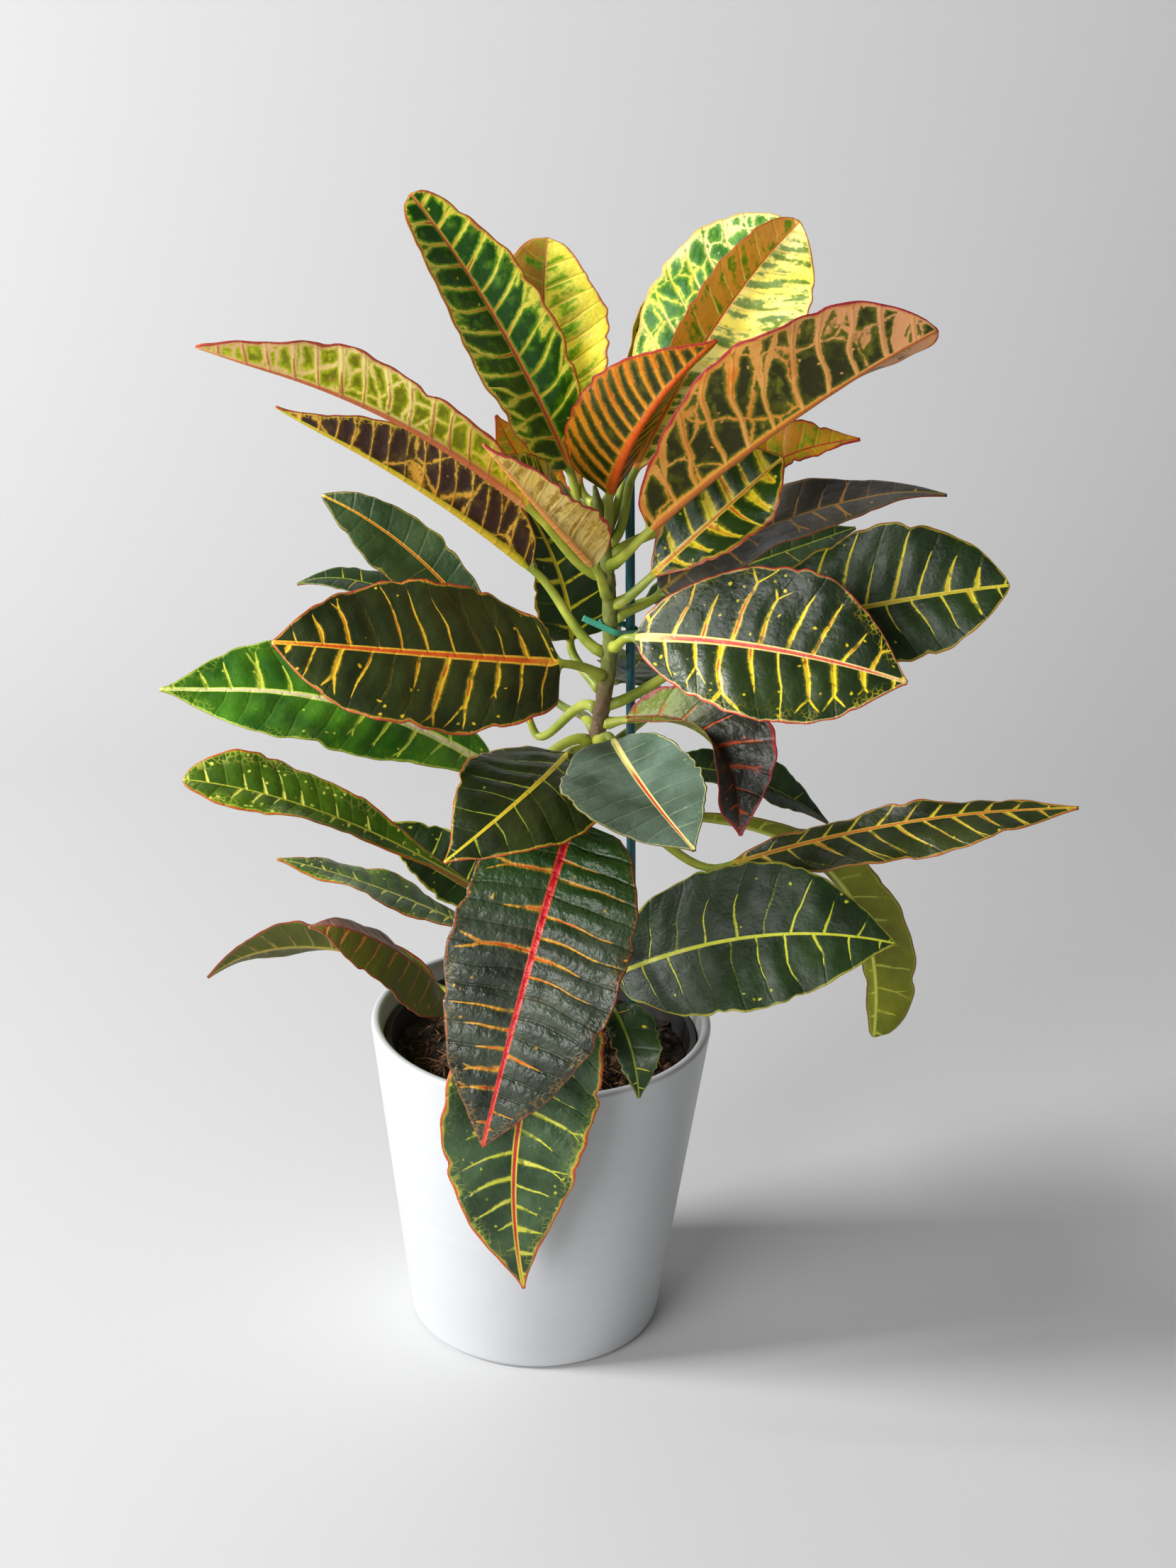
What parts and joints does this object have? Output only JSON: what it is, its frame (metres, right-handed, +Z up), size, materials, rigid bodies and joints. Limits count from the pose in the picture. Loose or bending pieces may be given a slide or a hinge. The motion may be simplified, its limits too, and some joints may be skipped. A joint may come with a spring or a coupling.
{
  "type": "potted croton plant",
  "caption": "Bushy croton with coloured, veined leaves on one stem, held to a slim stake by a tie, in a black grow pot inside a tapered white glazed pot.",
  "frame": {"origin": "centre of the glazed pot's flat underside", "axes": "+Z up along the pot's axis, -Y toward the viewer of the picture, +X to that viewer's right"},
  "size_m": [0.3984, 0.2429, 0.5366],
  "materials": {
    "white_glaze": "satin white glaze",
    "black_plastic": "matte moulded",
    "potting_soil": "moist coir and peat",
    "bark": "thin corky bark",
    "stake_coating": "dark teal coating",
    "tie_plastic": "teal green plastic",
    "leaf_dark": "glossy dark green leaf, yellow to orange veins",
    "leaf_fresh": "glossy bright green leaf, pale midrib",
    "leaf_young": "satin young leaf, yellow with green islands",
    "leaf_gold": "satin gold leaf with olive patches",
    "leaf_copper": "satin orange leaf with dark patches",
    "leaf_olive": "satin olive leaf",
    "leaf_plum": "satin purple-brown leaf"
  },
  "bodies": {
    "root": {"pot": "white_glaze", "grow_pot": "black_plastic", "soil": "potting_soil", "stem": "bark", "stake": "stake_coating", "tie": "tie_plastic", "leaf_01": "leaf_fresh", "leaf_02": "leaf_dark", "leaf_03": "leaf_young", "leaf_04": "leaf_young", "leaf_05": "leaf_young", "leaf_06": "leaf_young", "leaf_07": "leaf_copper", "leaf_08": "leaf_copper", "leaf_09": "leaf_gold", "leaf_10": "leaf_plum", "leaf_11": "leaf_gold", "leaf_12": "leaf_dark", "leaf_13": "leaf_copper", "leaf_14": "leaf_dark", "leaf_15": "leaf_dark", "leaf_16": "leaf_dark", "leaf_17": "leaf_dark", "leaf_18": "leaf_dark", "leaf_19": "leaf_dark", "leaf_20": "leaf_fresh", "leaf_21": "leaf_dark", "leaf_22": "leaf_dark", "leaf_23": "leaf_dark", "leaf_24": "leaf_dark", "leaf_25": "leaf_olive", "leaf_26": "leaf_fresh", "leaf_27": "leaf_dark", "leaf_28": "leaf_dark", "leaf_29": "leaf_olive", "leaf_30": "leaf_dark", "leaf_31": "leaf_dark", "leaf_32": "leaf_dark", "leaf_33": "leaf_dark", "leaf_34": "leaf_dark", "leaf_35": "leaf_fresh", "leaf_36": "leaf_dark", "leaf_37": "leaf_olive", "leaf_38": "leaf_plum", "leaf_39": "leaf_dark", "leaf_40": "leaf_dark", "leaf_41": "leaf_dark", "leaf_42": "leaf_dark", "leaf_43": "leaf_dark"}
  },
  "joints": []
}
